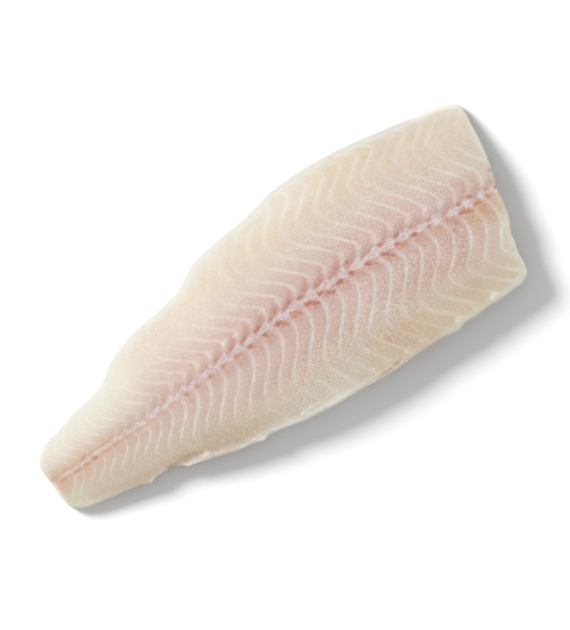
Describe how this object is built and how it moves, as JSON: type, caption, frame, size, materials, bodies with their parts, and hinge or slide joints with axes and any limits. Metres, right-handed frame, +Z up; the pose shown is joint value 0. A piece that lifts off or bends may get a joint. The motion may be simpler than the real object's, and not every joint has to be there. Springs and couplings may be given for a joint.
{
  "type": "hake fillet",
  "caption": "Raw skinless white fish fillet lying flat, thick at the square head cut and tapering to a narrow tail, with a herringbone of fine white lines.",
  "frame": {"origin": "centre of the fillet's plan outline, on the face it rests on", "axes": "+X from the tail to the head cut, +Y to the back edge, +Z up out of the flesh side"},
  "size_m": [0.25, 0.1, 0.0179],
  "materials": {
    "flesh": "moist, soft sheen, translucent"
  },
  "bodies": {
    "root": {"fillet": "flesh"}
  },
  "joints": []
}
